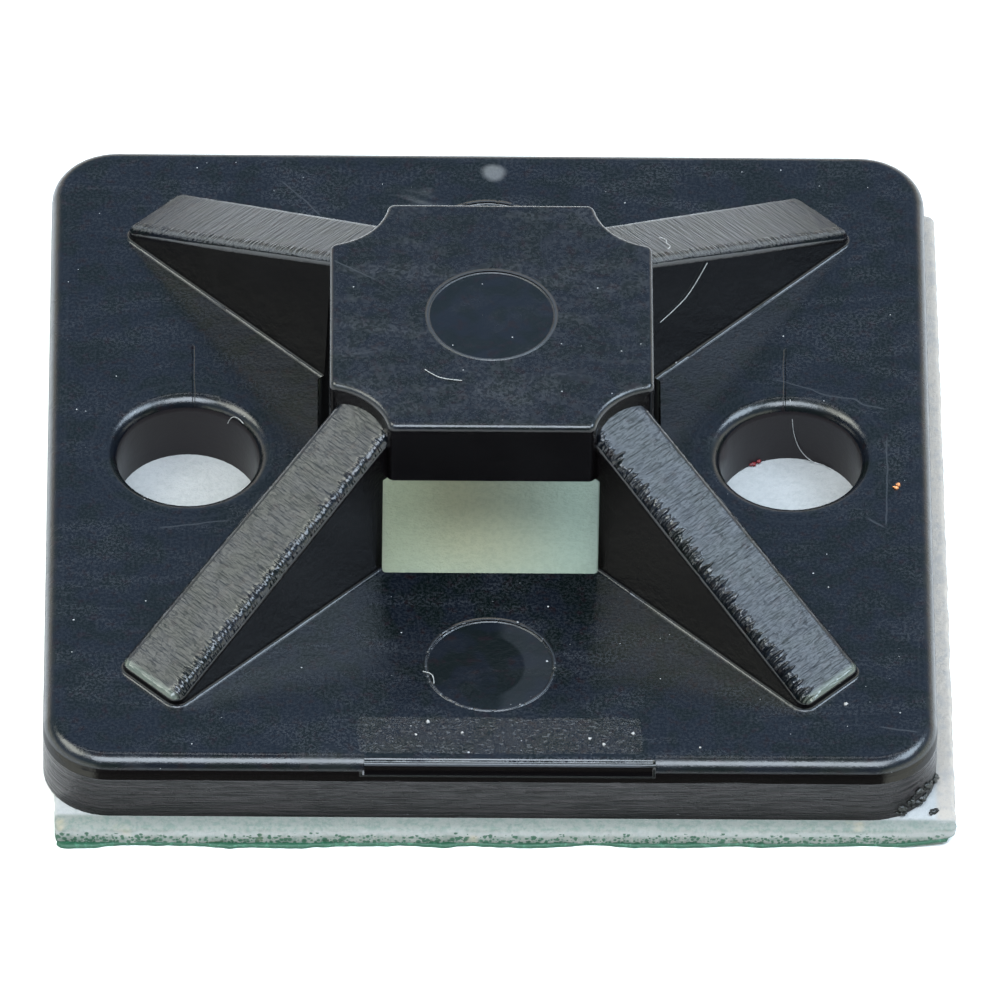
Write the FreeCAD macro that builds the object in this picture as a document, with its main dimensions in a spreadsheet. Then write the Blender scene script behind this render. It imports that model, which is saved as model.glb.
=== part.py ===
# Self-adhesive four-way cable tie mount, in millimetres.
# One moulded nylon body (base plate, saddle and four diagonal ribs) stands on a foam
# pad, and a release liner covers the pad's underside.
# The origin is on the mounting plane, under the centre of the base. +Z is up, the
# screw holes lie along X, and -Y is the front.

import FreeCAD, Part
import math
import os
import Sketcher

doc = FreeCAD.newDocument("CableTieMount")

# Driving sizes

sizes = {
    "base_side": "28.0",
    "base_thick": "2.35",
    "base_corner_radius": "2.1",
    "base_edge_fillet": "0.5",
    "screw_hole_diameter": "4.5",
    "screw_hole_border": "2.2",
    "screw_hole_web": "1.85",
    "screw_hole_fillet": "0.45",
    "core_margin": "0.35",
    "core_corner_fillet": "0.15",
    "passage_height": "3.7",
    "passage_column": "1.7",
    "saddle_thick": "2.35",
    "saddle_corner_fillet": "0.25",
    "saddle_edge_fillet": "0.2",
    "notch_radius": "2.15",
    "notch_offset": "0.28",
    "rib_border": "4.6",
    "rib_draft": "1.5",
    "rib_side_gap": "0.16",
    "rib_drop": "0.6",
    "rib_overlap": "0.2",
    "rib_crest_gap": "0.1",
    "rib_end_height": "0.3",
    "rib_end_fillet": "0.4",
    "rib_edge_fillet": "0.28",
    "rib_foot_fillet": "0.12",
    "pin_mark_diameter": "4.0",
    "pin_mark_border": "2.45",
    "pin_mark_depth": "0.06",
    "gate_width": "9.1",
    "gate_offset": "0.6",
    "gate_height": "0.6",
    "gate_edge_fillet": "0.12",
    "pad_extra_width": "0.2",
    "pad_corner_fillet": "0.3",
    "pad_shift_right": "0.4",
    "pad_shift_front": "0.48",
    "pad_turn": "0.36",
    "foam_thick": "0.62",
    "liner_thick": "0.13",
}

sheet = doc.addObject("Spreadsheet::Sheet", "Sizes")
for row, (alias, size) in enumerate(sizes.items(), start=1):
    sheet.set(f"A{row}", alias)
    sheet.set(f"B{row}", size)
    sheet.setAlias(f"B{row}", alias)
doc.recompute()

# Heights and places worked out from the driving sizes. The holes lie a border inside the
# base's sides, and the saddle takes the room that a web beside each hole leaves. Each rib
# rises to a drop below the saddle's top where it meets the notch, is a gap narrower than the
# notch on each side, and starts inside the passages' corner.

base_bottom = "(Sizes.liner_thick + Sizes.foam_thick)"
base_top = f"({base_bottom} + Sizes.base_thick)"
base_half = "(Sizes.base_side / 2)"
screw_hole_x = f"({base_half} - Sizes.screw_hole_border - Sizes.screw_hole_diameter / 2)"
core_half = f"({screw_hole_x} - Sizes.screw_hole_diameter / 2 - Sizes.screw_hole_web)"
saddle_half = f"({core_half} - Sizes.core_margin)"
passage_half = f"({saddle_half} - Sizes.passage_column)"
saddle_bottom = f"({base_top} + Sizes.passage_height)"
saddle_top = f"({saddle_bottom} + Sizes.saddle_thick)"
notch_centre = f"({saddle_half} + Sizes.notch_offset)"
notch_leg = f"({notch_centre} - sqrt(Sizes.notch_radius ^ 2 - Sizes.notch_offset ^ 2))"
notch_wall = f"({notch_centre} * sqrt(2) - Sizes.notch_radius)"
notch_mouth_half = f"(({saddle_half} - {notch_leg}) / sqrt(2))"
rib_start = f"({passage_half} * sqrt(2) - Sizes.rib_overlap)"
rib_reach = f"({base_half} * sqrt(2) - Sizes.rib_border)"
rib_rise = "(Sizes.passage_height + Sizes.saddle_thick - Sizes.rib_drop)"
rib_height = "(Sizes.passage_height + Sizes.saddle_thick - Sizes.rib_crest_gap)"
rib_crest = f"({base_top} + {rib_height})"
rib_end_top = f"({base_top} + Sizes.rib_end_height)"
rib_slope = f"(({rib_rise} - Sizes.rib_end_height) / ({rib_reach} - {notch_wall}))"
rib_crest_reach = f"({notch_wall} - ({rib_height} - {rib_rise}) / {rib_slope})"
rib_crest_half = f"({notch_mouth_half} - Sizes.rib_side_gap)"
rib_half = f"({rib_crest_half} + {rib_height} * tan(Sizes.rib_draft * 1deg))"
pin_mark_y = f"({base_half} - Sizes.pin_mark_border - Sizes.pin_mark_diameter / 2)"

overshoot = 1.0
tolerance = 0.02
diagonal = 45.0
ways = 4


def value(expression):
    return float(sheet.evalExpression(str(expression).replace("Sizes.", "")))


# Sketches

def origin_part(body, role):
    return next(item for item in body.Origin.OriginFeatures if item.Role == role)


def new_sketch(body, name, role, height=None, turned=None):
    sketch = body.newObject("Sketcher::SketchObject", name)
    sketch.AttachmentSupport = [(origin_part(body, role), "")]
    sketch.MapMode = "FlatFace"
    if turned is not None:
        sketch.AttachmentOffset = FreeCAD.Placement(FreeCAD.Vector(), turned)
    if height is not None:
        sketch.setExpression("AttachmentOffset.Base.z", height)
    return sketch


def bind(sketch, constraint, expression):
    added = sketch.addConstraint(constraint)
    sketch.setExpression(f"Constraints[{added}]", str(expression))


def bind_point(sketch, geometry, end, x, y):
    bind(sketch, Sketcher.Constraint("DistanceX", -1, 1, geometry, end, value(x)), x)
    bind(sketch, Sketcher.Constraint("DistanceY", -1, 1, geometry, end, value(y)), y)


# The corners run anticlockwise, each a pair of expressions. Sides that start at the
# corners listed in rounds or hollows are arcs that bend outwards or inwards.
def add_outline(sketch, corners, rounds=(), hollows=(), radius=None):
    points = [FreeCAD.Vector(value(x), value(y), 0) for x, y in corners]
    for index, start in enumerate(points):
        finish = points[(index + 1) % len(points)]
        if index in rounds:
            side = arc_between(start, finish, value(radius))
        elif index in hollows:
            side = arc_between(finish, start, value(radius))
        else:
            side = Part.LineSegment(start, finish)
        sketch.addGeometry(side, False)
    for index, (x, y) in enumerate(corners):
        following = (index + 1) % len(corners)
        near_end = 2 if index in hollows else 1
        next_end = 2 if following in hollows else 1
        sketch.addConstraint(Sketcher.Constraint("Coincident", index, 3 - near_end, following, next_end))
        bind_point(sketch, index, near_end, x, y)
    for index in (*rounds, *hollows):
        bind(sketch, Sketcher.Constraint("Radius", index, value(radius)), radius)


# The arc runs anticlockwise from start to finish, with its centre on its left.
def arc_between(start, finish, radius):
    chord = finish - start
    left = FreeCAD.Vector(-chord.y, chord.x, 0).normalize()
    centre = (start + finish) / 2 + left * math.sqrt(radius ** 2 - (chord.Length / 2) ** 2)
    return Part.Arc(start, centre - left * radius, finish)


def add_rectangle(sketch, left, front, right, back):
    add_outline(sketch, [(left, front), (right, front), (right, back), (left, back)])


def add_rounded_rectangle(sketch, half_x, half_y, radius):
    x, y = f"({half_x} - {radius})", f"({half_y} - {radius})"
    add_outline(sketch, [
        (f"-{x}", f"-{half_y}"), (x, f"-{half_y}"), (half_x, f"-{y}"), (half_x, y),
        (x, half_y), (f"-{x}", half_y), (f"-{half_x}", y), (f"-{half_x}", f"-{y}"),
    ], rounds=(1, 3, 5, 7), radius=radius)


def add_circle(sketch, x, y, diameter):
    centre = FreeCAD.Vector(value(x), value(y), 0)
    circle = Part.Circle(centre, FreeCAD.Vector(0, 0, 1), value(diameter) / 2)
    index = sketch.addGeometry(circle, False)
    bind_point(sketch, index, 3, x, y)
    bind(sketch, Sketcher.Constraint("Diameter", index, value(diameter)), diameter)


# Solid features

def new_pad(body, name, sketch, length, taper=None):
    pad = body.newObject("PartDesign::Pad", name)
    pad.Profile = sketch
    pad.setExpression("Length", length)
    if taper is not None:
        pad.setExpression("TaperAngle", taper)
    doc.recompute()
    return pad


def new_pocket(body, name, sketch, length, upwards=False, both_sides=False):
    volume = body.Shape.Volume
    pocket = body.newObject("PartDesign::Pocket", name)
    pocket.Profile = sketch
    pocket.Reversed = upwards
    if both_sides:
        pocket.SideType = "Symmetric"
    pocket.setExpression("Length", length)
    doc.recompute()
    if body.Shape.Volume >= volume:
        raise RuntimeError(f"{name} removes nothing")
    return pocket


def new_fillet(body, name, wanted, radius):
    edges = [f"Edge{index}" for index, edge in enumerate(body.Shape.Edges, start=1) if wanted(edge)]
    if not edges:
        raise RuntimeError(f"{name} finds no edge")
    carrier = body.Tip
    fillet = body.newObject("PartDesign::Fillet", name)
    fillet.Base = (carrier, edges)
    fillet.setExpression("Radius", radius)
    doc.recompute()
    return fillet


# Ways to pick edges by where they lie

def near(first, second):
    return abs(first - second) < tolerance


def spans_height(edge, low, high):
    return near(edge.BoundBox.ZMin, low) and near(edge.BoundBox.ZMax, high)


def at_height(edge, height):
    return spans_height(edge, height, height)


def upright(edge):
    box = edge.BoundBox
    return box.ZLength > tolerance and box.XLength < tolerance and box.YLength < tolerance


def is_circle(edge, radius):
    return isinstance(edge.Curve, Part.Circle) and near(edge.Curve.Radius, radius)


def reach(edge):
    middle = edge.CenterOfMass
    return math.hypot(middle.x, middle.y)


def beside_diagonal(edge):
    middle = edge.CenterOfMass
    return abs(abs(middle.x) - abs(middle.y)) / math.sqrt(2)


# Moulded body

def make_base(body):
    outline = new_sketch(body, "base_outline", "XY_Plane", base_bottom)
    minus_half = f"-{base_half}"
    add_rectangle(outline, minus_half, minus_half, base_half, base_half)
    new_pad(body, "base_plate", outline, "Sizes.base_thick")
    new_fillet(body, "base_corners", upright, "Sizes.base_corner_radius")
    new_fillet(body, "base_rim", lambda edge: at_height(edge, value(base_top)), "Sizes.base_edge_fillet")


def make_gate_stub(body):
    outline = new_sketch(body, "gate_outline", "XY_Plane", f"{base_top} - Sizes.gate_height")
    left = "Sizes.gate_offset - Sizes.gate_width / 2"
    right = "Sizes.gate_offset + Sizes.gate_width / 2"
    inside = f"-{base_half} + Sizes.base_edge_fillet * 2"
    add_rectangle(outline, left, f"-{base_half}", right, inside)
    new_pad(body, "gate_stub", outline, "Sizes.gate_height")
    front = -value(base_half)
    new_fillet(
        body, "gate_edge",
        lambda edge: at_height(edge, value(base_top)) and near(edge.CenterOfMass.y, front),
        "Sizes.gate_edge_fillet")


def make_ribs(body):
    strip = new_sketch(
        body, "rib_strip", "XY_Plane", base_top,
        FreeCAD.Rotation(FreeCAD.Vector(0, 0, 1), diagonal))
    arc_x = f"({rib_reach} - Sizes.rib_end_fillet)"
    arc_y = f"({rib_half} - Sizes.rib_end_fillet)"
    add_outline(strip, [
        (rib_start, f"-{rib_half}"),
        (arc_x, f"-{rib_half}"), (rib_reach, f"-{arc_y}"),
        (rib_reach, arc_y), (arc_x, rib_half),
        (rib_start, rib_half),
    ], rounds=(1, 3), radius="Sizes.rib_end_fillet")
    blank = new_pad(body, "rib_blank", strip, rib_height, "-Sizes.rib_draft")

    profile = new_sketch(
        body, "rib_slope", "XZ_Plane", None,
        FreeCAD.Rotation(FreeCAD.Vector(0, 1, 0), diagonal))
    past_end = f"{rib_reach} + {overshoot}"
    above = f"{rib_crest} + {overshoot}"
    add_outline(profile, [
        (rib_crest_reach, rib_crest),
        (rib_reach, rib_end_top),
        (past_end, rib_end_top),
        (past_end, above),
        (rib_crest_reach, above),
    ])
    slope = new_pocket(body, "rib_top", profile, f"2 * {rib_half} + {overshoot}", both_sides=True)

    pattern = body.newObject("PartDesign::PolarPattern", "four_ribs")
    pattern.Originals = [blank, slope]
    pattern.Axis = (origin_part(body, "Z_Axis"), [""])
    pattern.Angle = 360
    pattern.Occurrences = ways
    body.Tip = pattern
    doc.recompute()

    end_top = value(rib_end_top)
    new_fillet(
        body, "rib_top_edges",
        lambda edge: at_height(edge, end_top) and reach(edge) > value(notch_wall),
        "Sizes.rib_edge_fillet")
    foot, half_width = value(base_top), value(rib_half)
    new_fillet(
        body, "rib_feet",
        lambda edge: at_height(edge, foot) and near(beside_diagonal(edge), half_width),
        "Sizes.rib_foot_fillet")


def make_saddle(body):
    outline = new_sketch(body, "saddle_outline", "XY_Plane", saddle_bottom)
    near_leg, far_leg = f"-{notch_leg}", notch_leg
    near_side, far_side = f"-{saddle_half}", saddle_half
    add_outline(outline, [
        (near_leg, near_side), (far_leg, near_side),
        (far_side, near_leg), (far_side, far_leg),
        (far_leg, far_side), (near_leg, far_side),
        (near_side, far_leg), (near_side, near_leg),
    ], hollows=(1, 3, 5, 7), radius="Sizes.notch_radius")
    new_pad(body, "saddle_plate", outline, "Sizes.saddle_thick")
    low, high = value(saddle_bottom), value(saddle_top)
    new_fillet(
        body, "saddle_corners",
        lambda edge: upright(edge) and spans_height(edge, low, high),
        "Sizes.saddle_corner_fillet")
    new_fillet(body, "saddle_rim", lambda edge: at_height(edge, high), "Sizes.saddle_edge_fillet")


# The two tie passages and the opening in the base below them are one cross, left by a
# core that is drawn out downwards. It stands a little proud of the saddle all round.
def make_tie_passages(body):
    depth = "Sizes.base_thick + Sizes.passage_height"
    passages = {
        "passage_along_x": (core_half, passage_half),
        "passage_along_y": (passage_half, core_half),
    }
    for name, (half_x, half_y) in passages.items():
        outline = new_sketch(body, f"{name}_outline", "XY_Plane", base_bottom)
        add_rounded_rectangle(outline, half_x, half_y, "Sizes.core_corner_fillet")
        new_pocket(body, name, outline, depth, upwards=True)


def make_screw_holes(body):
    outline = new_sketch(body, "screw_hole_outline", "XY_Plane", base_bottom)
    for x in (f"-{screw_hole_x}", screw_hole_x):
        add_circle(outline, x, "0", "Sizes.screw_hole_diameter")
    new_pocket(body, "screw_holes", outline, f"Sizes.base_thick + {overshoot}", upwards=True)
    radius = value("Sizes.screw_hole_diameter") / 2
    new_fillet(
        body, "screw_hole_rims",
        lambda edge: at_height(edge, value(base_top)) and is_circle(edge, radius),
        "Sizes.screw_hole_fillet")


# Ejector pins leave a shallow round mark on the saddle and one before and one behind it.
def make_pin_marks(body):
    places = {
        "saddle_mark": (saddle_top, ["0"]),
        "base_marks": (base_top, [f"-{pin_mark_y}", pin_mark_y]),
    }
    for name, (height, rows) in places.items():
        outline = new_sketch(body, f"{name}_outline", "XY_Plane", height)
        for y in rows:
            add_circle(outline, "0", y, "Sizes.pin_mark_diameter")
        new_pocket(body, name, outline, "Sizes.pin_mark_depth")


# Foam pad and release liner, cut together and stuck on slightly off centre

def make_layer(name, bottom, thickness):
    body = doc.addObject("PartDesign::Body", name)
    outline = new_sketch(body, f"{name}_outline", "XY_Plane", bottom)
    outline.setExpression("AttachmentOffset.Base.x", "Sizes.pad_shift_right")
    outline.setExpression("AttachmentOffset.Base.y", "-Sizes.pad_shift_front")
    outline.setExpression("AttachmentOffset.Rotation.Angle", "Sizes.pad_turn")
    half_width = "((Sizes.base_side + Sizes.pad_extra_width) / 2)"
    add_rectangle(outline, f"-{half_width}", f"-{base_half}", half_width, base_half)
    new_pad(body, f"{name}_sheet", outline, thickness)
    new_fillet(body, f"{name}_corners", upright, "Sizes.pad_corner_fillet")
    return body


mount_body = doc.addObject("PartDesign::Body", "mount_body")
make_base(mount_body)
make_gate_stub(mount_body)
make_ribs(mount_body)
make_saddle(mount_body)
make_tie_passages(mount_body)
make_screw_holes(mount_body)
make_pin_marks(mount_body)

foam_pad = make_layer("foam_pad", "Sizes.liner_thick", "Sizes.foam_thick")
release_liner = make_layer("release_liner", "0", "Sizes.liner_thick")

# Checks and files

pieces = [mount_body, foam_pad, release_liner]

for item in doc.Objects:
    if any(word in item.State for word in ("Invalid", "Error")):
        raise RuntimeError(f"{item.Name} did not compute: {item.State}")
for piece in pieces:
    if piece.Shape.isNull() or not piece.Shape.isValid():
        raise RuntimeError(f"{piece.Label} has no valid shape")

os.makedirs("parts", exist_ok=True)
for piece in pieces:
    piece.Shape.exportStep(f"parts/{piece.Label}.step")
    print(f"{piece.Label}: {piece.Shape.Volume:.2f} mm3, {len(piece.Shape.Faces)} faces")
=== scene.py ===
# Cable tie mount: the looks of the moulding, its foam pad and its release liner.
# Blender's own units are metres. Names that end in Mm hold millimetres.

import math
import random

import bmesh
import bpy
from mathutils import Matrix, Vector, noise


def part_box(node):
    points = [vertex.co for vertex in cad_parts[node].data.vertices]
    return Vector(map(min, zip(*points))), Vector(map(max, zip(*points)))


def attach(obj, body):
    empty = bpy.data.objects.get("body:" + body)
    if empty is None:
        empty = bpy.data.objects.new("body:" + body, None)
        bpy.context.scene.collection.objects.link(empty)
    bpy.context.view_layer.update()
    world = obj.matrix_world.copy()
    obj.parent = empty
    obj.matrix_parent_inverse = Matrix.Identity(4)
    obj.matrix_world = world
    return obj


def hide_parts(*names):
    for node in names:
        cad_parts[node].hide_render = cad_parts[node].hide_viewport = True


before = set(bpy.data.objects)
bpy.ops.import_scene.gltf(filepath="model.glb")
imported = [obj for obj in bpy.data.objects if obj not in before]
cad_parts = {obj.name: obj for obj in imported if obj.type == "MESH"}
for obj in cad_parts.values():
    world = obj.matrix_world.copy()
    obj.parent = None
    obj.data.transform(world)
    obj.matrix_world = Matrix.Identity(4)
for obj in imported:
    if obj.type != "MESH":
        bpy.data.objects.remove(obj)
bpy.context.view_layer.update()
print("frame loaded:", sorted(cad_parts))

mm = 0.001


# Camera, light and floor

cameraSettings = {
    "aimMm": (0.303, -3.845, 4.75),
    "distanceMm": 658.27,
    "elevation": 44.258,  # degrees above the floor
    "azimuth": 0.879,  # degrees from straight in front, towards the left
    "roll": 0.977,
    "lens": 752.3,
    "sensor": 36.0,
}

lightSettings = {  # where each stands in degrees and metres, its size in metres and its strength in watts
    "frontBox": {
        "azimuth": 0, "elevation": 65, "distance": 0.6, "size": (0.46, 0.32),
        "power": 5.6, "colour": (0.80, 0.90, 1.0),
    },
    "backStrip": {
        "azimuth": 180, "elevation": 66, "distance": 0.6, "size": (0.5, 0.035),
        "power": 0.25, "colour": (0.9, 0.95, 1.0),
    },
    "leftBox": {
        "azimuth": 95, "elevation": 55, "distance": 0.6, "size": (0.40, 0.24),
        "power": 2.5, "colour": (0.97, 1.0, 0.90),
    },
    "rightBox": {
        "azimuth": -95, "elevation": 55, "distance": 0.6, "size": (0.40, 0.24),
        "power": 3.6, "colour": (0.70, 0.85, 1.0),
    },
}

floorSettings = {
    "side": 3.0,
    "riseMm": 0.01,  # the liner's lower face stays just below it, so that it shows from below
    "colour": (0.93, 0.90, 0.87),
    "roughness": 0.7,
}

skySettings = {
    "backHorizon": (1.45, 1.38, 1.26),
    "sideHorizon": (2.2, 2.28, 2.02),
    "middle": (0.27, 0.375, 0.53),
    "zenith": (0.06, 0.07, 0.09),
    "frontShade": 0.92,  # how much darker it is low in front, behind the camera
    "toSides": (-0.75, -0.15),  # where each change starts and ends, as a part of the direction
    "toMiddle": (0.10, 0.46),
    "toZenith": (0.64, 0.95),
    "shadeAcross": (0.89, 0.96),
    "shadeUpTo": (0.66, 0.78),
}


def directionTo(azimuth, elevation):  # azimuth turns from the front, -Y, towards the left, -X
    turn, rise = math.radians(azimuth), math.radians(elevation)
    return Vector((-math.sin(turn) * math.cos(rise), -math.cos(turn) * math.cos(rise), math.sin(rise)))


def facing(direction):  # turns an object's own +Z to the direction, with its +X level
    zAxis = direction.normalized()
    xAxis = Vector((0, 0, 1)).cross(zAxis).normalized()
    yAxis = zAxis.cross(xAxis)
    return Matrix((xAxis, yAxis, zAxis)).transposed().to_4x4()


def makeCamera():
    data = bpy.data.cameras.new("photoCamera")
    data.lens = cameraSettings["lens"]
    data.sensor_width = cameraSettings["sensor"]
    data.clip_start = 0.01
    data.clip_end = 10.0
    camera = bpy.data.objects.new("photoCamera", data)
    bpy.context.scene.collection.objects.link(camera)
    direction = directionTo(cameraSettings["azimuth"], cameraSettings["elevation"])
    aim = Vector(cameraSettings["aimMm"]) * mm
    place = Matrix.Translation(aim + direction * cameraSettings["distanceMm"] * mm)
    roll = Matrix.Rotation(math.radians(cameraSettings["roll"]), 4, "Z")
    camera.matrix_world = place @ facing(direction) @ roll
    bpy.context.scene.camera = camera


def makeLights():
    for name, light in lightSettings.items():
        data = bpy.data.lights.new(name, "AREA")
        data.shape = "RECTANGLE"
        data.size, data.size_y = light["size"]
        data.energy = light["power"]
        data.color = light["colour"]
        lamp = bpy.data.objects.new(name, data)
        bpy.context.scene.collection.objects.link(lamp)
        direction = directionTo(light["azimuth"], light["elevation"])
        lamp.matrix_world = Matrix.Translation(direction * light["distance"]) @ facing(direction)


class Signal:  # one output in a node tree, with Python's operators for numbers
    def __init__(self, tree, socket):
        self.tree = tree
        self.socket = socket

    def __add__(self, other):
        return self.tree.math("ADD", self, other)

    def __radd__(self, other):
        return self.tree.math("ADD", other, self)

    def __sub__(self, other):
        return self.tree.math("SUBTRACT", self, other)

    def __rsub__(self, other):
        return self.tree.math("SUBTRACT", other, self)

    def __mul__(self, other):
        return self.tree.math("MULTIPLY", self, other)

    def __rmul__(self, other):
        return self.tree.math("MULTIPLY", other, self)

    def __truediv__(self, other):
        return self.tree.math("DIVIDE", self, other)

    def __neg__(self):
        return self.tree.math("MULTIPLY", self, -1.0)

    def __abs__(self):
        return self.tree.math("ABSOLUTE", self)


class NodeTree:  # builds a material's or the sky's nodes
    def __init__(self, owner):
        owner.use_nodes = True
        self.nodes = owner.node_tree.nodes
        self.links = owner.node_tree.links
        self.nodes.clear()

    def node(self, kind, settings=None, inputs=None, output=0):
        made = self.nodes.new(kind)
        for name, value in (settings or {}).items():
            setattr(made, name, value)
        for name, value in (inputs or {}).items():
            self.feed(made.inputs[name], value)
        return Signal(self, made.outputs[output] if made.outputs else None)

    def also(self, signal, output):  # another output of the node that a signal comes from
        return Signal(self, signal.socket.node.outputs[output])

    def feed(self, socket, value):
        if isinstance(value, Signal):
            self.links.new(value.socket, socket)
        else:
            socket.default_value = value

    def math(self, operation, first, second=0.0):
        return self.node("ShaderNodeMath", {"operation": operation}, {0: first, 1: second})

    def least(self, first, second):
        return self.math("MINIMUM", first, second)

    def most(self, first, second):
        return self.math("MAXIMUM", first, second)

    def length(self, first, second):  # of a level vector with these two parts
        return self.math("SQRT", first * first + second * second)

    def step(self, value, low, high):  # rises smoothly from 0 at low to 1 at high
        return self.node(
            "ShaderNodeMapRange", {"interpolation_type": "SMOOTHSTEP"},
            {"Value": value, "From Min": low, "From Max": high})

    def band(self, value, low, high, soft):  # 1 between low and high, 0 outside them
        return self.step(value, low - soft, low + soft) * (1 - self.step(value, high - soft, high + soft))

    def line(self, value, middle, halfWidth, soft=0.03):
        return self.band(value, middle - halfWidth, middle + halfWidth, soft)

    def mixColour(self, factor, first, second):
        return self.node(
            "ShaderNodeMix", {"data_type": "RGBA"}, {0: factor, 6: first, 7: second}, output=2)

    def mixShader(self, factor, first, second):
        return self.node("ShaderNodeMixShader", None, {0: factor, 1: first, 2: second})

    def grain(self, vector, scale, detail=2.0, roughness=0.5):
        return self.node(
            "ShaderNodeTexNoise", None,
            {"Vector": vector, "Scale": scale, "Detail": detail, "Roughness": roughness})

    def stretch(self, vector, scale=(1, 1, 1), turn=(0, 0, 0), shift=(0, 0, 0)):
        return self.node(
            "ShaderNodeMapping", None,
            {"Vector": vector, "Location": shift, "Rotation": turn, "Scale": scale})


def split(tree, vector):
    x = tree.node("ShaderNodeSeparateXYZ", None, {0: vector})
    return x, tree.also(x, "Y"), tree.also(x, "Z")


def makeSky():
    world = bpy.data.worlds.new("studioSky")
    bpy.context.scene.world = world
    tree = NodeTree(world)
    direction = tree.node("ShaderNodeTexCoord", output="Generated")
    side, depth, height = split(tree, direction)
    use = skySettings
    toSides = tree.step(-depth, *use["toSides"])
    sky = tree.mixColour(toSides, (*use["backHorizon"], 1), (*use["sideHorizon"], 1))
    sky = tree.mixColour(tree.step(height, *use["toMiddle"]), sky, (*use["middle"], 1))
    sky = tree.mixColour(tree.step(height, *use["toZenith"]), sky, (*use["zenith"], 1))
    across = tree.most(tree.length(side, depth), 0.001)
    shade = tree.step(-depth / across, *use["shadeAcross"]) * (1 - tree.step(height, *use["shadeUpTo"]))
    sky = tree.mixColour(shade * use["frontShade"], sky, (0, 0, 0, 1))
    background = tree.node("ShaderNodeBackground", None, {"Color": sky})
    tree.node("ShaderNodeOutputWorld", None, {"Surface": background})


def makeFloor():
    shape = bmesh.new()
    bmesh.ops.create_grid(shape, x_segments=1, y_segments=1, size=floorSettings["side"] / 2)
    bmesh.ops.translate(shape, vec=(0, 0, floorSettings["riseMm"] * mm), verts=shape.verts)
    mesh = bpy.data.meshes.new("floor")
    shape.to_mesh(mesh)
    shape.free()
    floor = bpy.data.objects.new("floor", mesh)
    bpy.context.scene.collection.objects.link(floor)
    material = bpy.data.materials.new("paleFloor")
    tree = NodeTree(material)
    surface = tree.node("ShaderNodeBsdfPrincipled", None, {
        "Base Color": (*floorSettings["colour"], 1),
        "Roughness": floorSettings["roughness"],
    })
    tree.node("ShaderNodeOutputMaterial", None, {"Surface": surface})
    mesh.materials.append(material)


makeCamera()
makeLights()
makeSky()
makeFloor()
bpy.context.scene.view_settings.view_transform = "Standard"
print("studio ready")


# Helpers for the materials

def newMaterial(name):
    made = bpy.data.materials.new(name)
    return made, NodeTree(made)


def surfaceOf(tree, colour, roughness, relief, strength=1.0, ior=1.5):  # relief is in millimetres
    normal = tree.node("ShaderNodeBump", None, {"Strength": strength, "Distance": mm, "Height": relief})
    return tree.node("ShaderNodeBsdfPrincipled", None, {
        "Base Color": colour, "Roughness": roughness, "IOR": ior, "Normal": normal,
    })


def show(tree, surface):
    tree.node("ShaderNodeOutputMaterial", None, {"Surface": surface})


def surfacePosition(tree):  # the object's own coordinates, in millimetres
    coordinates = tree.node("ShaderNodeTexCoord", output="Object")
    return tree.stretch(coordinates, scale=(1000, 1000, 1000))


def joined(tree, x, y, z):
    return tree.node("ShaderNodeCombineXYZ", None, {0: x, 1: y, 2: z})


def specks(tree, position, perMm, share, sizeMm):  # small round dots, each in its own cell
    cells = tree.node("ShaderNodeTexVoronoi", None, {"Vector": position, "Scale": perMm})
    distance = cells / perMm
    red, green = split(tree, tree.also(cells, "Color"))[:2]
    kept = tree.math("LESS_THAN", red, share)
    radius = green * (sizeMm * 0.8) + sizeMm * 0.2
    return kept * (1 - tree.step(distance / radius, 0.6, 1.1))


def streaks(tree, position, turn, alongPerMm, acrossPerMm, seed):  # noise drawn out along one direction
    turned = tree.stretch(position, turn=(0, 0, math.radians(turn)), shift=(seed, 0, 0))
    return tree.grain(tree.stretch(turned, scale=(alongPerMm, acrossPerMm, 1)), 1.0, 2.0, 0.6)


def scratches(tree, position, turn, acrossPerMm, share, seed):  # faint lines that run one way, in patches
    lines = tree.step(streaks(tree, position, turn, 0.3, acrossPerMm, seed), 1 - share - 0.06, 1 - share)
    patches = tree.step(tree.grain(tree.stretch(position, shift=(seed, seed, 0)), 0.4, 0.0), 0.5, 0.64)
    return lines * patches


def lineMark(tree, x, y, start, end, width, wobble):  # 1 along a drawn line on a level face
    run = math.hypot(end[0] - start[0], end[1] - start[1])
    runX, runY = (end[0] - start[0]) / run, (end[1] - start[1]) / run
    along = (x - start[0]) * runX + (y - start[1]) * runY
    across = (y - start[1]) * runX - (x - start[0]) * runY
    return (1 - tree.step(abs(across + wobble), width * 0.4, width)) * tree.band(along, 0, run, 0.15)


# The black moulding

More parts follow.
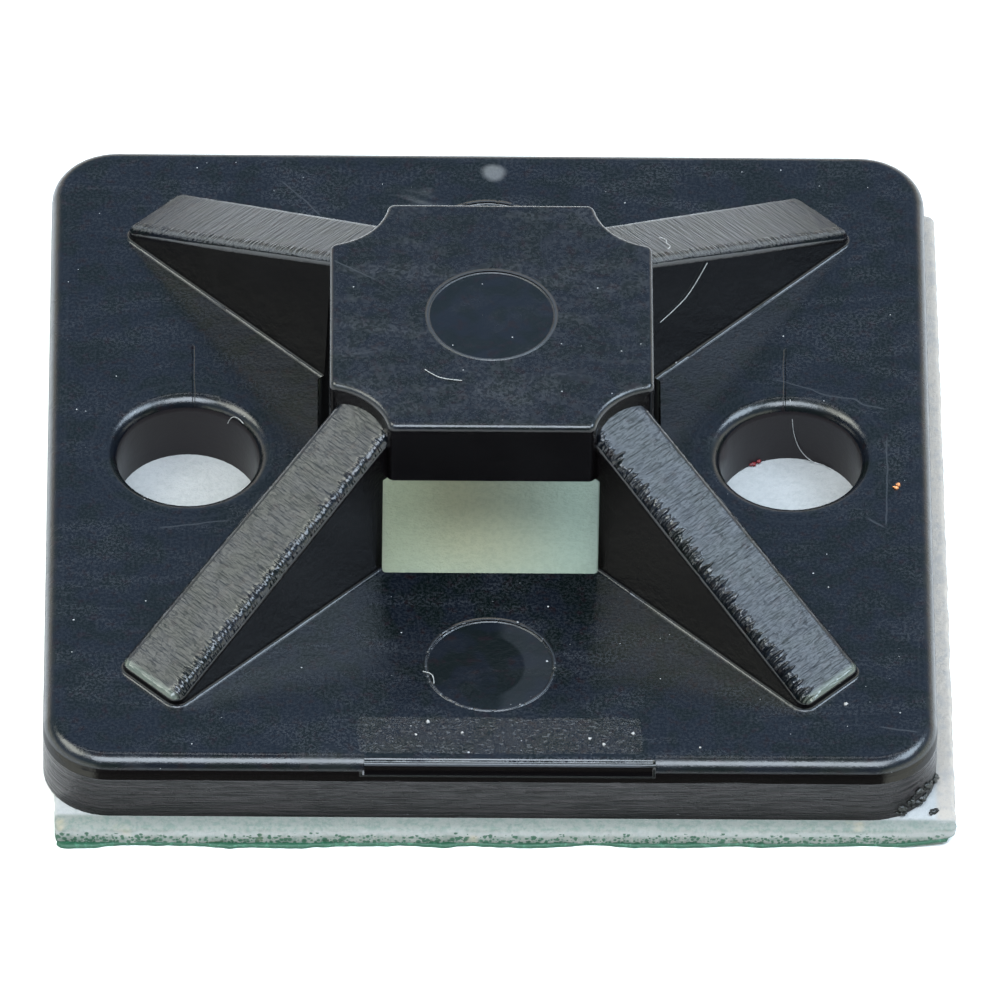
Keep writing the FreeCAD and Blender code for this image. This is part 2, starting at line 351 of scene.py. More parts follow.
nylonSettings = {  # lengths in millimetres
    "slate": (0.0030, 0.0045, 0.0075),
    "greenish": (0.0016, 0.0034, 0.0036),
    "brownish": (0.0050, 0.0032, 0.0045),
    "wall": (0.0016, 0.0011, 0.0012),
    # the worn colour also serves for the painted highlights
    "worn": (0.034, 0.038, 0.044),
    "wallWorn": (0.021, 0.0165, 0.0180),
    # painted highlight on the near ribs' rounded ends
    "paintedEndHighlight": (0.095, 0.110, 0.090),
    "dust": (0.36, 0.36, 0.36),
    "ior": 1.53,
    "wallIor": 1.40,
    "glossRoughness": 0.14,
    "saddleRoughness": 0.24,
    "ribRoughness": 0.34,
    "wallRoughness": 0.33,
    "ribWallRoughness": 0.17,
    "baseTop": 3.1,
    "baseHalf": 14.0,
    "baseCorner": 2.1,
    "baseFillet": 0.5,
    "saddleTop": 9.15,
    "scuffTop": 2.33,  # the base's walls are scuffed below this height
    "ribRise": 0.884,  # upward part of a rib top's normal
    "ribHalf": 1.15,
    "striationsPerMm": 9.0,
    "teethPerMm": 8.0,
    "ribRollFrom": 0.72,  # from here the rib's top rolls over to its walls
    "gatePatch": (-4.1, 4.7, -13.45, -11.95),  # left, right, near, far
    "screwHoleX": 9.55,
    "pinMarkY": 9.55,
    "pinMarkRadius": 2.0,
    "crescentShift": 0.35,  # how far the pale crescent, a painted reflection in each pin mark, is shifted to the right
    "ringMarkRadius": 3.06,  # faint ring round each screw hole
    "holeRimRadius": 2.70,
    "smudge": (0.19, 12.9),
    "smear": (-3.2, -1.2, 11.35, 12.0),  # left, right, near, far
}

wearAndHighlightShares = {  # how far each mark turns the nylon's colour to its worn colour; the rims, the pin lips, the pin marks' pale side and the gate's edge carry painted highlights and a painted reflection this way
    "marks": 0.55,
    "ringMark": 0.3,
    "hairlines": 0.12,
    "rubbed": 0.38,
    "pinLipAndHighlight": 0.6,
    "rimHighlight": 0.10,
    "brushed": 0.12,
    "paintedPinReflection": 0.22,
    "gateEdgeAndHighlight": 0.5,
    "gateFuzzAndHighlight": 0.6,
}

reliefMm = {  # heights of the nylon's fine relief
    "fine": 0.005,
    "medium": 0.006,
    "broad": 0.03,
    "saddleFine": 0.007,
    "patchCrumbs": 0.012,
    "patchPits": 0.014,
    "knitLine": 0.03,
    "pinLipAndHighlight": 0.045,
    "striation": 0.05,
    "frontRibs": 0.04,
    "scuffedFine": 0.012,
    "scuffLines": 0.08,
    "scuffPits": 0.012,
}

hairlineSets = [(28, 9.0, 3.0), (-52, 11.0, 11.0), (84, 8.0, 23.0)]  # turn in degrees, lines per mm, seed

baseMarks = [  # scratches: start, end and width in mm, and how much each wanders
    ((9.1, 3.4), (12.57, 2.06), 0.045, 1.4),
    ((12.61, 0.69), (12.55, -3.17), 0.04, 0.6),
    ((11.95, -2.86), (12.48, -3.26), 0.06, 0.6),
    ((12.18, -12.22), (13.40, -12.40), 0.05, 0.6),
    ((-6.65, 12.46), (-5.33, 10.89), 0.04, 0.6),
    ((-10.41, -3.52), (-8.2, -3.13), 0.05, 0.6),
]

saddleMark = ((-5.0, 2.45), (-3.64, 1.55), 0.035, 0.2)
knitLineMark = ((9.42, 4.8), (9.38, 1.9), 0.05, 0.3)  # behind each screw hole, where the melt met


def outlineDistance(tree, x, y, half, radius):  # 0 on a rounded square's outline and negative inside it
    overX = abs(x) - (half - radius)
    overY = abs(y) - (half - radius)
    corner = tree.length(tree.most(overX, 0), tree.most(overY, 0))
    return corner + tree.least(tree.most(overX, overY), 0) - radius


class FaceMap:  # masks and distances that say where on the moulding a point is
    def __init__(self, tree):
        use = nylonSettings
        self.position = surfacePosition(tree)
        self.x, self.y, self.z = split(tree, self.position)
        x, y, z = self.x, self.y, self.z
        normal = tree.node("ShaderNodeTexCoord", output="Normal")
        self.normalX, self.normalY, self.normalZ = split(tree, normal)
        self.fine = tree.grain(self.position, 10.0, 2.0, 0.8)
        self.medium = tree.grain(self.position, 2.6, 2.0, 0.6)
        self.wobble = (tree.grain(self.position, 1.4, 1.0) - 0.5) * 0.25
        self.upright = 1 - tree.step(abs(self.normalZ), 0.25, 0.4)
        aboveBase = tree.step(z, use["baseTop"] + 0.12, use["baseTop"] + 0.2)
        belowSaddle = 1 - tree.step(z, use["saddleTop"] - 0.5, use["saddleTop"] - 0.4)
        self.onRibs = tree.band(self.normalZ, 0.45, 0.96, 0.04) * aboveBase * belowSaddle
        self.edgeDistance = outlineDistance(tree, x, y, use["baseHalf"], use["baseCorner"])
        self.outside = tree.step(self.edgeDistance, -0.3, -0.2)
        self.holeDistance = tree.length(abs(x) - use["screwHoleX"], y)
        left, right = use["gatePatch"][:2]
        behindGate = tree.band(x, left + 0.05, right + 0.4, 0.05)
        self.gateSpan = behindGate * tree.step(z, 2.55, 2.62) * self.outside


def darkNylon(tree, at):  # the moulding's own colour, which wanders a little
    use = nylonSettings
    patches = tree.step(tree.grain(at.position, 1.1, 1.0), 0.42, 0.6)
    colour = tree.mixColour(patches, (*use["slate"], 1), (*use["greenish"], 1))
    return tree.mixColour(tree.step(at.medium, 0.54, 0.72), colour, (*use["brownish"], 1))


def levelFinish(tree, at):  # the base's top, the saddle's top and their rounded edges
    use = nylonSettings
    position, x, y, z, wobble = at.position, at.x, at.y, at.z, at.wobble
    level = tree.step(at.normalZ, 0.94, 0.99)
    onBase = level * tree.band(z, use["baseTop"] - 0.12, use["baseTop"] + 0.08, 0.02)
    onSaddle = level * tree.step(z, use["saddleTop"] - 0.2, use["saddleTop"] - 0.15)

    # Fine lines, haze and dust
    drift = tree.node(
        "ShaderNodeTexNoise", None, {"Vector": position, "Scale": 0.11, "Detail": 0.0}, output="Color")
    bent = tree.node("ShaderNodeVectorMath", {"operation": "ADD"}, {0: position, 1: drift})
    hairlines = 0
    for turn, perMm, seed in hairlineSets:
        hairlines = tree.most(hairlines, scratches(tree, bent, turn, perMm, 0.30, seed))
    wisps = tree.node("ShaderNodeTexNoise", None, {
        "Vector": tree.stretch(position, scale=(0.6, 1.5, 1)),
        "Scale": 0.45, "Detail": 3.0, "Roughness": 0.6, "Distortion": 1.2,
    })
    haze = tree.step(wisps, 0.42, 0.68)
    rubbed = tree.step(at.fine, 0.46, 0.57) * (0.45 + haze * 0.55)
    dust = tree.most(specks(tree, position, 1.2, 0.40, 0.05), specks(tree, position, 3.2, 0.12, 0.03))

    # The ejector pins' rings and the holes' rims, with painted highlight lines on the rims and a painted
    # reflection in each pin mark
    pinRadius = use["pinMarkRadius"]
    pinY = abs(y) - use["pinMarkY"] * onBase
    pinDistance = tree.length(x, pinY)
    inPin = (1 - tree.step(pinDistance, pinRadius - 0.1, pinRadius)) * level
    # the raised lip round each pin mark is real; its paler colour is a painted highlight on it
    pinLipAndHighlight = tree.line(pinDistance, pinRadius + 0.02, 0.05, 0.035) * level
    pinLipAndHighlight = pinLipAndHighlight * tree.step(at.medium + onSaddle, 0.3, 0.5)
    brushed = streaks(tree, position, -40, 0.5, 11.0, 0)
    ringMark = tree.line(at.holeDistance + wobble * 0.15, use["ringMarkRadius"], 0.04) * onBase * 0.5
    # painted highlights: thin pale lines round the holes and along the base's rounded edge
    rimHighlight = tree.line(at.holeDistance, use["holeRimRadius"], 0.04)
    edgeRimHighlight = tree.line(at.edgeDistance, -use["baseFillet"] - 0.055, 0.035)
    rimHighlight = tree.most(rimHighlight, edgeRimHighlight) * onBase
    # painted reflection: the right side of each pin mark on the base is painted paler
    crescent = tree.length(x + use["crescentShift"], pinY)
    paintedPinReflection = inPin * onBase * tree.step(crescent, 1.35, 1.5) * tree.step(x, 0.1, 0.6)

    # Marks that are seen on this one
    start, end, width, wander = knitLineMark
    knitLine = lineMark(tree, abs(x), y, start, end, width, wobble * wander)
    marks = 0
    for start, end, width, wander in baseMarks:
        marks = tree.most(marks, lineMark(tree, x, y, start, end, width, wobble * wander))
    start, end, width, wander = saddleMark
    marks = tree.most(marks * onBase, lineMark(tree, x, y, start, end, width, wobble * wander) * onSaddle)
    smudgeX, smudgeY = use["smudge"]
    smudge = (1 - tree.step(tree.length(x - smudgeX, y - smudgeY) + wobble, 0.20, 0.50)) * 0.22
    left, right, near, far = use["smear"]
    smear = tree.band(x + wobble, left, right, 0.4) * tree.band(y + wobble, near, far, 0.3) * haze * 0.16

    # The rough patch behind the gate, and its cut edge, whose pale colour is partly scuffing and partly a
    # painted highlight
    left, right, near, far = use["gatePatch"]
    patch = tree.band(x + wobble, left, right, 0.08) * tree.band(y + wobble * 0.7, near, far, 0.10) * onBase
    crumbs = tree.grain(tree.stretch(position, scale=(0.8, 1.4, 1)), 8.0, 2.0, 0.8)
    patchCrumbs = patch * tree.step(crumbs, 0.58, 0.64)
    patchPits = patch * (1 - tree.step(crumbs, 0.42, 0.49))
    # the gate's cut edge is scuffed, and its pale line and fuzzy band are painted highlights
    gateEdgeAndHighlight = tree.band(x, left, right, 0.05) * (1 - tree.step(y, -13.95, -13.88))
    gateEdgeAndHighlight = gateEdgeAndHighlight * tree.step(z, 2.99, 3.03)
    gateFuzzAndHighlight = tree.band(x + wobble, 0.3, 4.8, 0.3) * tree.band(y + wobble * 0.5, -14.1, -13.6, 0.12)
    gateFuzzAndHighlight = gateFuzzAndHighlight * tree.step(z, 2.9, 3.0) * tree.step(at.fine, 0.44, 0.58)
    gateRoll = tree.most(-13.55 - y + wobble * 0.4, 0)
    gateRoll = gateRoll * gateRoll * onBase * 0.78

    # All of it together
    shares = wearAndHighlightShares
    drawn = tree.most(marks * shares["marks"], ringMark * shares["ringMark"])
    allOver = tree.most(hairlines * shares["hairlines"], rubbed * shares["rubbed"])
    allOver = allOver * (onBase + onSaddle) * (1 - inPin * 0.6)
    circles = tree.most(pinLipAndHighlight * shares["pinLipAndHighlight"], rimHighlight * shares["rimHighlight"])
    circles = circles + brushed * inPin * shares["brushed"] + paintedPinReflection * shares["paintedPinReflection"]
    gate = tree.most(gateEdgeAndHighlight * shares["gateEdgeAndHighlight"], gateFuzzAndHighlight * shares["gateFuzzAndHighlight"])
    wearAndHighlights = tree.most(tree.most(drawn, allOver), tree.most(circles, gate))
    colour = tree.mixColour(wearAndHighlights, darkNylon(tree, at), (*use["worn"], 1))
    dusty = tree.most(dust * 0.8, tree.most(smudge, smear) * onBase)
    dusty = tree.most(dusty, patchCrumbs * 0.11)
    colour = tree.mixColour(dusty, colour, (*use["dust"], 1))
    roughness = use["glossRoughness"] + haze * 0.08 + wearAndHighlights * 0.22 + dust * 0.3 + (1 - level) * 0.09
    roughness = roughness + onSaddle * (use["saddleRoughness"] - use["glossRoughness"]) * (1 - inPin * 0.7)
    heights = reliefMm
    fineHeight = heights["fine"] + onSaddle * (1 - inPin) * heights["saddleFine"]
    relief = (at.fine - 0.5) * fineHeight + (at.medium - 0.5) * heights["medium"]
    relief = relief + (tree.grain(position, 0.35, 0.0) - 0.5) * heights["broad"]
    relief = relief + patchCrumbs * heights["patchCrumbs"] - patchPits * heights["patchPits"]
    relief = relief - knitLine * heights["knitLine"] + pinLipAndHighlight * heights["pinLipAndHighlight"] - gateRoll * at.gateSpan
    return surfaceOf(tree, colour, roughness, relief, ior=use["ior"])


def ribFinish(tree, at):  # the ribs' sloping tops, with their striations and ragged roll-over, and painted highlights on their edges and near ends
    use = nylonSettings
    x, y = at.x, at.y
    alongRib = (abs(x) + abs(y)) * math.sqrt(0.5)
    acrossRib = (abs(x) - abs(y)) * math.sqrt(0.5)
    quarter = tree.math("SIGN", x) * 7.3 + tree.math("SIGN", y) * 3.1
    lines = joined(tree, alongRib * use["striationsPerMm"], acrossRib * 0.9, quarter)
    striation = tree.grain(lines, 1.0, 2.0, 0.65)
    teeth = tree.grain(joined(tree, alongRib * use["teethPerMm"], acrossRib * 0.8, quarter + 20), 1.0, 1.0)
    nearSide = acrossRib * tree.math("SIGN", y)  # across the rib, towards its wall that is seen
    frontRib = 1 - tree.step(y, -1, 1)
    leftFront = frontRib * (1 - tree.step(x, -1, 1))
    raggedEdge = nearSide + (teeth - 0.5) * (0.05 + frontRib * 0.95 - leftFront * 0.55)
    nearRoll = tree.most(raggedEdge - use["ribRollFrom"], 0)
    farRoll = tree.most(-nearSide - use["ribHalf"] + 0.2, 0)
    flat = tree.band(at.normalZ, use["ribRise"] - 0.05, use["ribRise"] + 0.045, 0.015)
    matt = flat * (1 - tree.step(raggedEdge, use["ribRollFrom"], use["ribRollFrom"] + 0.1))
    # painted highlight: a pale line along the far ribs' seen edge, in the worn colour
    paintedEdgeHighlight = tree.band(nearSide, 0.98, 1.12, 0.05) * (1 - frontRib) * tree.step(at.medium, 0.3, 0.5)
    colour = tree.mixColour(paintedEdgeHighlight * 0.6, darkNylon(tree, at), (*use["worn"], 1))
    # painted highlight: the near ribs' rounded ends are painted pale
    ribEndHighlight = tree.step(alongRib, 14.9, 15.08) * frontRib
    colour = tree.mixColour(ribEndHighlight * 0.8, colour, (*use["paintedEndHighlight"], 1))
    roughness = use["glossRoughness"] + 0.04 + matt * (use["ribRoughness"] - use["glossRoughness"])
    heights = reliefMm
    relief = (striation - 0.5) * heights["striation"] + (at.fine - 0.5) * heights["fine"]
    relief = relief + (at.medium - 0.5) * (heights["medium"] + frontRib * heights["frontRibs"])
    relief = relief - nearRoll * nearRoll * (1 - leftFront * 0.5) - farRoll * farRoll * 1.2
    return surfaceOf(tree, colour, roughness, relief, ior=use["ior"])


def wallFinish(tree, at):  # upright faces; the base's are scuffed low down, with fine level lines and pits
    use = nylonSettings
    z = at.z
    low = 1 - tree.step(z + at.wobble * 0.5, use["scuffTop"] - 0.06, use["scuffTop"] + 0.04)
    scuffed = low * at.outside
    lines = tree.grain(tree.stretch(at.position, scale=(0.35, 0.35, 11.0)), 1.0, 2.0, 0.7)
    pits = tree.step(tree.grain(at.position, 5.0, 1.0, 0.6), 0.55, 0.7)
    inHole = 1 - tree.step(at.holeDistance, 2.3, 2.5)
    worn = tree.most(scuffed * tree.step(lines, 0.45, 0.60) * 0.6, inHole * 0.7)
    colour = tree.mixColour(worn, (*use["wall"], 1), (*use["wallWorn"], 1))
    diagonal = tree.step(tree.least(abs(at.normalX), abs(at.normalY)), 0.45, 0.6) * (1 - at.outside)
    roughness = use["glossRoughness"] + diagonal * (use["ribWallRoughness"] - use["glossRoughness"])
    roughness = roughness + tree.most(scuffed, inHole) * (use["wallRoughness"] - use["glossRoughness"])
    leaning = tree.least(tree.most(use["baseTop"] - 0.2 - z, 0), 0.57)  # the gloss band's skin rolls over
    curved = tree.least(leaning, 0.3)
    rolledOver = curved * curved * 0.85 + (leaning - curved) * 0.51
    heights = reliefMm
    relief = (at.fine - 0.5) * (heights["fine"] + scuffed * heights["scuffedFine"])
    relief = relief + (at.medium - 0.5) * heights["medium"] + rolledOver * at.outside
    relief = relief + scuffed * ((lines - 0.5) * heights["scuffLines"] - pits * heights["scuffPits"])
    relief = relief + (use["baseTop"] - z) * 0.5 * at.gateSpan
    return surfaceOf(tree, colour, roughness, relief, ior=use["wallIor"])


def nylonMaterial():
    made, tree = newMaterial("blackNylon")
    at = FaceMap(tree)
    surface = tree.mixShader(at.onRibs, levelFinish(tree, at), ribFinish(tree, at))
    show(tree, tree.mixShader(at.upright, surface, wallFinish(tree, at)))
    return made


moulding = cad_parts["mount_body"]
nylon = nylonMaterial()
for materialSlot in moulding.material_slots:
    materialSlot.material = nylon
print("moulding dressed")


# The foam pad and its release liner

padSettings = {
    "edgeStepMm": 0.075,  # spacing of the points round the cut edge
    "foam": (0.350, 0.350, 0.345),
    "foamCut": (0.187, 0.195, 0.175),
    # painted warmth on the right strip, against the right lamp's blue light
    "foamRightPaintedWarmth": (0.360, 0.318, 0.276),
    "foamPores": (0.10, 0.145, 0.12),
    "foamWarm": (0.36, 0.42, 0.30),
    # painted light in the window's middle
    "foamPaintedLightMiddle": (0.56, 0.56, 0.35),
    "foamStain": (0.42, 0.33, 0.20),
    "foamDirt": (0.27, 0.26, 0.25),
    "foamRoughness": 0.85,
    "wallRows": 7,
    "roundingMm": 0.14,
    "roundingRows": 5,
    "roundedAboveMm": 0.6,
    "topRings": [(0.07, 0)] * 8,  # steps inward and upward in mm
    "cutReachMm": 0.35,  # how far in from the edge the cut is felt
    "cutFromMm": (13.95, 14.1),  # where the cut faces' colour starts
    "windowHalfMm": (3.9, 6.5),  # the part that shows in the moulding's core opening
    "fuzzMm": 0.045,  # how far the knife left the foam uneven
    "cornerLiftMm": 0.30,  # the near right corner curls up
    "cornerReachMm": 2.2,
}

linerSettings = {
    "colour": (0.007, 0.058, 0.028),
    "pale": (0.05, 0.17, 0.10),
    "roughness": 0.55,
    "rings": [(-0.02, 0.04), (0.0, 0.05), (0.02, 0.04)] + [(0.06, 0)] * 5,  # steps inward and upward in mm
    "cutReachMm": 0.3,
    "waveMm": 0.16,  # how far its cut edge wanders
    "cuspsPerMm": 0.45,
}


def outlineOf(node):  # the lower outline of a CAD solid as a closed loop of edges, with even spacing
    shape = bmesh.new()
    shape.from_mesh(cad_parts[node].data)
    bmesh.ops.remove_doubles(shape, verts=shape.verts, dist=0.001 * mm)
    bottom = min(vert.co.z for vert in shape.verts)
    level = {face for face in shape.faces if all(vert.co.z < bottom + 0.01 * mm for vert in face.verts)}
    rest = [face for face in shape.faces if face not in level]
    bmesh.ops.delete(shape, geom=rest, context="FACES")
    bmesh.ops.dissolve_faces(shape, faces=shape.faces[:])
    bmesh.ops.delete(shape, geom=shape.faces[:], context="FACES_ONLY")
    sides = [edge for edge in shape.edges if edge.calc_length() > 1 * mm]
    step = padSettings["edgeStepMm"] * mm
    for edge in sides:
        bmesh.ops.subdivide_edges(shape, edges=[edge], cuts=int(edge.calc_length() / step))
    return shape


def raised(shape, edges, centre, inwardMm, riseMm):  # a new ring from the last one, moved in and up
    ring = bmesh.ops.extrude_edge_only(shape, edges=edges)["geom"]
    verts = [part for part in ring if isinstance(part, bmesh.types.BMVert)]
    half = max(abs(vert.co.x - centre.x) for vert in verts)
    factor = 1 - inwardMm * mm / half
    bmesh.ops.scale(shape, vec=(factor, factor, 1), space=Matrix.Translation(-centre), verts=verts)
    bmesh.ops.translate(shape, vec=(0, 0, riseMm * mm), verts=verts)
    return [part for part in ring if isinstance(part, bmesh.types.BMEdge)]


def layerShape(node, rings):  # a closed sheet whose cut edge has the rings given as inward and upward steps
    shape = outlineOf(node)
    low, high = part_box(node)
    centre = (Vector(low) + Vector(high)) / 2
    edges = shape.edges[:]
    bmesh.ops.holes_fill(shape, edges=edges)
    for inwardMm, riseMm in rings:
        edges = raised(shape, edges, centre, inwardMm, riseMm)
    bmesh.ops.holes_fill(shape, edges=edges)
    bmesh.ops.recalc_face_normals(shape, faces=shape.faces[:])
    return shape, centre


def finished(shape, name, material, node=None):
    mesh = bpy.data.meshes.new(name)
    for face in shape.faces:
        face.smooth = len(face.verts) <= 4  # the large level faces stay flat
    shape.to_mesh(mesh)
    shape.free()
    mesh.materials.append(material)
    piece = bpy.data.objects.new(name, mesh)
    bpy.context.scene.collection.objects.link(piece)
    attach(piece, "root")
    if node:
        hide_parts(node)
    return piece


def edgeDepth(place, low, high):  # how far in from the cut edge a place is, in millimetres
    return min(high.x - place.x, place.x - low.x, high.y - place.y, place.y - low.y) / mm


def outwardFrom(centre, place):  # the level direction in which the nearest side of a square faces
    away = place - centre
    if abs(away.x) > abs(away.y):
        return Vector((math.copysign(1, away.x), 0, 0))
    return Vector((0, math.copysign(1, away.y), 0))


def cornerLift(place, low, high):  # how much the near right corner is curled up at a place, 0 to 1
    away = math.hypot(place.x - high.x, place.y - low.y) / (padSettings["cornerReachMm"] * mm)
    return max(0.0, 1 - away) ** 1.5


def makePad(material):
    low, high = (Vector(corner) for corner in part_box("foam_pad"))
    thickMm = (high.z - low.z) / mm
    rounding = padSettings["roundingMm"]
    wallRows, roundingRows = padSettings["wallRows"], padSettings["roundingRows"]
    rings = [(0, (thickMm - rounding) / wallRows)] * wallRows
    turns = [math.radians(90 * row / roundingRows) for row in range(roundingRows + 1)]
    for before, after in zip(turns, turns[1:]):
        inward = rounding * (math.cos(before) - math.cos(after))
        upward = rounding * (math.sin(after) - math.sin(before))
        rings.append((inward, upward))
    rings += padSettings["topRings"]
    shape, centre = layerShape("foam_pad", rings)
    fuzz = padSettings["fuzzMm"] * mm
    for vert in shape.verts:
        place = vert.co / mm
        onCut = max(0.0, 1 - edgeDepth(vert.co, low, high) / padSettings["cutReachMm"])
        streak = noise.noise(Vector((place.x * 3.2, place.y * 3.2, place.z * 0.7)))
        lump = noise.noise(Vector((place.x * 1.1, place.y * 1.1, place.z * 1.5 + 9)))
        fineLump = noise.noise(place * 7.0)
        bulge = streak * 0.9 + lump * 1.1 + fineLump * 0.5
        vert.co += outwardFrom(centre, vert.co) * fuzz * onCut * bulge
        if place.z > padSettings["roundedAboveMm"]:
            vert.co.z = min(vert.co.z, high.z) - abs(fineLump) * fuzz * 0.9 * onCut
        belowTop = 1 - (place.z - low.z / mm) / thickMm
        vert.co.z += padSettings["cornerLiftMm"] * mm * cornerLift(vert.co, low, high) * belowTop
    return finished(shape, "foamPad", material, "foam_pad")


def makeLiner(material):
    shape, centre = layerShape("release_liner", linerSettings["rings"])
    low, high = (Vector(corner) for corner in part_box("release_liner"))
    for vert in shape.verts:
        place = vert.co / mm
        onCut = max(0.0, 1 - edgeDepth(vert.co, low, high) / linerSettings["cutReachMm"])
        outward = outwardFrom(centre, vert.co)
        along = place.x + place.y * 1.7
        cusp = abs(noise.noise(Vector((along * linerSettings["cuspsPerMm"], 3.3, 0)))) * 1.9
        ripple = noise.noise(Vector((along * 2.6, 8.1, 0))) * 0.25
        reach = 1.0 if outward.y < 0 else -0.5  # it only stands out in front
        vert.co += outward * linerSettings["waveMm"] * mm * onCut * (reach - cusp + ripple)
        vert.co.z += padSettings["cornerLiftMm"] * mm * cornerLift(vert.co, low, high)
    return finished(shape, "releaseLiner", material, "release_liner")


def foamMaterial():
    made, tree = newMaterial("whiteFoam")
    use = padSettings
    position = surfacePosition(tree)
    x, y, z = split(tree, position)
    cell = tree.grain(position, 6.0, 4.0, 0.7)
    broad = tree.grain(position, 0.8, 3.0)
    edgeStreak = tree.grain(tree.stretch(position, scale=(6.0, 6.0, 0.8)), 1.0, 3.0, 0.6)
    halfX, halfY = use["windowHalfMm"]
    window = tree.band(x, -halfX, halfX, 0.9) * tree.band(y, -halfY, halfY, 0.5)
    nearEdge = tree.step(tree.most(abs(x), abs(y)), *use["cutFromMm"])
    # painted light: the window's middle is painted brighter and yellower, lifting the shade under the
    # saddle
    middle = (1 - tree.step(abs(x), 0.2, 2.9)) * (1 - tree.step(abs(y), 1.4, 4.3))
    warm = tree.mixColour(middle, (*use["foamWarm"], 1), (*use["foamPaintedLightMiddle"], 1))
    colour = tree.mixColour(window * 0.85, (*use["foam"], 1), warm)
    # darker along the front: the cut face and the strip in front of the base's front wall take the cut
    # faces' colour
    front = 1 - tree.step(y, -14.05, -13.85)
    below = 1 - tree.step(z, 0.55, 0.72)
    colour = tree.mixColour(tree.most(nearEdge * below, front), colour, (*use["foamCut"], 1))
    pores = tree.step(cell, 0.42, 0.62) * (0.14 + nearEdge * 0.5)
    colour = tree.mixColour(pores, colour, (*use["foamPores"], 1))
    towardsLiner = 1 - tree.step(z, 0.14, 0.60)
    paleBand = tree.band(z + (broad - 0.5) * 0.3, 0.40, 0.62, 0.08) * nearEdge
    colour = tree.mixColour(paleBand * 0.5, colour, (*use["foam"], 1))
    greenDots = specks(tree, position, 6.5, towardsLiner * 0.95, 0.12)
    greenDots = tree.most(greenDots, specks(tree, position, 10.0, towardsLiner * 0.7, 0.08)) * nearEdge
    colour = tree.mixColour(greenDots * 0.9, colour, (*linerSettings["colour"], 1))
    stain = tree.step(broad, 0.60, 0.74) * nearEdge
    colour = tree.mixColour(stain * 0.4, colour, (*use["foamStain"], 1))
    # painted tint: the right strip is painted warmer against the right lamp's blue light; the dirt patches
    # on it are real
    onRight = tree.step(x, 13.9, 14.1)
    colour = tree.mixColour(onRight * (1 - front), colour, (*use["foamRightPaintedWarmth"], 1))
    dirt = onRight * tree.step(tree.grain(position, 2.2, 5.0, 0.75), 0.46, 0.60)
    colour = tree.mixColour(dirt * 0.6, colour, (*use["foamDirt"], 1))
    relief = (cell - 0.5) * 0.05 + (edgeStreak - 0.5) * 0.04
    show(tree, surfaceOf(tree, colour, use["foamRoughness"], relief, strength=0.8))
    return made


def linerMaterial():
    made, tree = newMaterial("greenLiner")
    use = linerSettings
    position = surfacePosition(tree)
    spots = tree.step(tree.grain(position, 7.0, 3.0, 0.6), 0.52, 0.66)
    colour = tree.mixColour(spots * 0.6, (*use["colour"], 1), (*use["pale"], 1))
    relief = (tree.grain(position, 5.0, 3.0) - 0.5) * 0.03
    show(tree, surfaceOf(tree, colour, use["roughness"], relief, strength=0.8))
    return made


foamPad = makePad(foamMaterial())
releaseLiner = makeLiner(linerMaterial())
print("foam pad and liner made:", len(foamPad.data.polygons), len(releaseLiner.data.polygons))


# Lint, crumbs and the residue on the near right corner

debrisSettings = {
    "lintRadiusMm": 0.015,
    "lint": (0.30, 0.30, 0.29),
    "residue": (0.010, 0.011, 0.009),
    "crumb": (0.32, 0.31, 0.30),
    "orange": (0.60, 0.24, 0.09),
    "red": (0.14, 0.012, 0.014),
}

residueSettings = {
    "lumps": 34,
    "seed": 7,
    "cornerCentreMm": (11.9, -11.9),
    "cornerRadiusMm": 2.11,
    "startAngle": -66,  # degrees round the base's near right corner
    "sweep": 56,
    "lowestMm": 0.85,
    "riseMm": 0.30,
}

# Lumps of dirt: place in mm, size in mm, and height as a share of it where that isn't 0.6
strayResidue = [((13.88, -13.62, 0.79), 0.20), ((13.98, -13.55, 0.79), 0.16), ((13.80, -13.72, 0.79), 0.12)]
chipLumps = [((12.86, -1.50, 3.13), 0.14), ((12.94, -1.36, 3.13), 0.12)]
redLumps = [((8.42, 1.93, 0.80), 0.22, 0.5), ((8.62, 2.02, 0.84), 0.16)]
crumbLumps = [
    ((-1.96, -12.12, 3.12), 0.11), ((-2.33, -12.70, 3.12), 0.08), ((-0.89, -12.60, 3.12), 0.09),
    ((3.10, -12.83, 3.12), 0.10), ((3.54, -13.09, 3.12), 0.10), ((4.45, -12.59, 3.12), 0.10),
    ((6.54, -13.19, 3.12), 0.07), ((11.13, -11.22, 3.12), 0.12), ((-8.97, 7.83, 3.11), 0.07),
    ((-7.23, 5.64, 3.11), 0.07), ((-6.31, 5.05, 3.11), 0.06), ((-8.10, 0.30, 0.76), 0.09),
]

lintPaths = {
    "saddle": [(-2.10, -2.53, 9.17), (-1.85, -2.80, 9.20), (-1.51, -2.98, 9.19), (-0.94, -3.02, 9.17)],
    "pinMark": [(-2.11, -9.90, 3.12), (-1.89, -9.99, 3.17), (-1.77, -10.20, 3.16), (-1.77, -10.43, 3.12)],
    "rightHole": [
        (9.56, 2.52, 3.10), (9.62, 2.26, 2.75), (9.70, 2.20, 1.80), (9.95, 2.14, 1.10),
        (10.40, 1.95, 0.79), (10.65, 1.95, 0.80), (10.90, 1.70, 0.78)],
    "leftHole": [(-8.30, 1.75, 2.62), (-8.20, 1.78, 2.90), (-7.95, 1.66, 2.96), (-7.80, 1.45, 2.90)],
    "ribWall": [(6.89, 5.08, 6.62), (6.43, 4.62, 5.86), (5.95, 4.14, 5.56), (5.40, 3.59, 5.41)],
    "ribTop": [
        (5.35, 5.30, 7.52), (5.60, 5.25, 7.50), (5.55, 4.90, 7.66), (5.75, 4.75, 7.62), (5.60, 4.45, 7.82)],
}


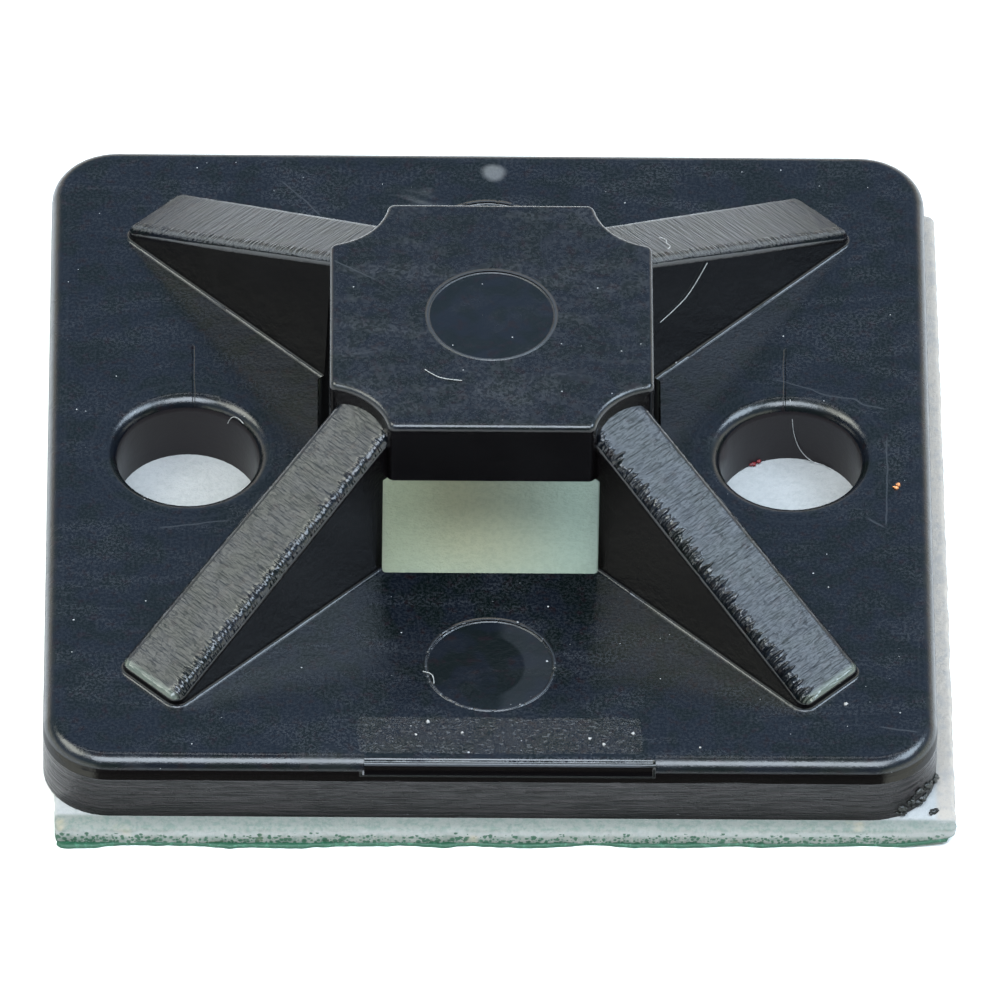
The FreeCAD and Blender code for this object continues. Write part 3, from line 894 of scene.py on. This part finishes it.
def addCrumb(shape, placeMm, sizeMm, flat=0.6):
    lump = bmesh.ops.create_icosphere(shape, subdivisions=2, radius=sizeMm / 2 * mm)["verts"]
    for vert in lump:
        rough = noise.noise(vert.co / (sizeMm * 0.4 * mm) + Vector(placeMm) * 3)
        vert.co *= 1 + 1.1 * rough
        vert.co.z *= flat
    bmesh.ops.translate(shape, vec=Vector(placeMm) * mm, verts=lump)


def plainMaterial(name, colour, roughness, spread):  # a colour that varies a little, with a rough skin
    made, tree = newMaterial(name)
    position = surfacePosition(tree)
    patches = tree.grain(position, 9.0, 3.0)
    darker = tuple(part * (1 - spread) for part in colour)
    lighter = tuple(min(1.0, part * (1 + spread)) for part in colour)
    mixed = tree.mixColour(tree.step(patches, 0.35, 0.65), (*darker, 1), (*lighter, 1))
    show(tree, surfaceOf(tree, mixed, roughness, patches * 0.05, strength=0.7))
    return made


def makeLint():
    shape = bmesh.new()
    for points in lintPaths.values():
        curve = bpy.data.curves.new("lintLine", "CURVE")
        curve.dimensions = "3D"
        curve.bevel_depth = debrisSettings["lintRadiusMm"] * mm
        curve.bevel_resolution = 1
        line = curve.splines.new("NURBS")
        line.points.add(len(points) - 1)
        for point, place in zip(line.points, points):
            point.co = (*(Vector(place) * mm), 1)
        line.order_u = 3
        line.use_endpoint_u = True
        line.resolution_u = 8
        curve.use_fill_caps = True
        drawn = bpy.data.objects.new("lintLine", curve)
        shape.from_mesh(bpy.data.meshes.new_from_object(drawn))
        bpy.data.objects.remove(drawn)
    return finished(shape, "lint", plainMaterial("paleLint", debrisSettings["lint"], 0.6, 0.15))


def residueLumps():  # they climb round the corner of the base
    use = residueSettings
    chance = random.Random(use["seed"])
    centreX, centreY = use["cornerCentreMm"]
    radius = use["cornerRadiusMm"]
    lumps = []
    for lump in range(use["lumps"]):
        share = chance.random()
        angle = math.radians(use["startAngle"] + use["sweep"] * share + chance.uniform(-4, 4))
        climb = chance.uniform(-0.05, 0.55) * math.sin(math.pi * min(1.0, share + 0.15))
        height = use["lowestMm"] + use["riseMm"] * share + climb
        place = (centreX + radius * math.cos(angle), centreY + radius * math.sin(angle), height)
        lumps.append((place, chance.uniform(0.10, 0.26), 0.9))
    return lumps + strayResidue


def makeDirt(name, lumps, material):
    shape = bmesh.new()
    for lump in lumps:
        addCrumb(shape, *lump)
    return finished(shape, name, material)


makeLint()
makeDirt("crumbs", crumbLumps, plainMaterial("paleCrumbs", debrisSettings["crumb"], 0.7, 0.2))
makeDirt("chip", chipLumps, plainMaterial("orangeChip", debrisSettings["orange"], 0.6, 0.3))
makeDirt("redFleck", redLumps, plainMaterial("redFleck", debrisSettings["red"], 0.5, 0.3))
darkResidue = plainMaterial("darkResidue", debrisSettings["residue"], 0.3, 0.6)
makeDirt("residue", residueLumps(), darkResidue)
print("lint, crumbs and residue made")
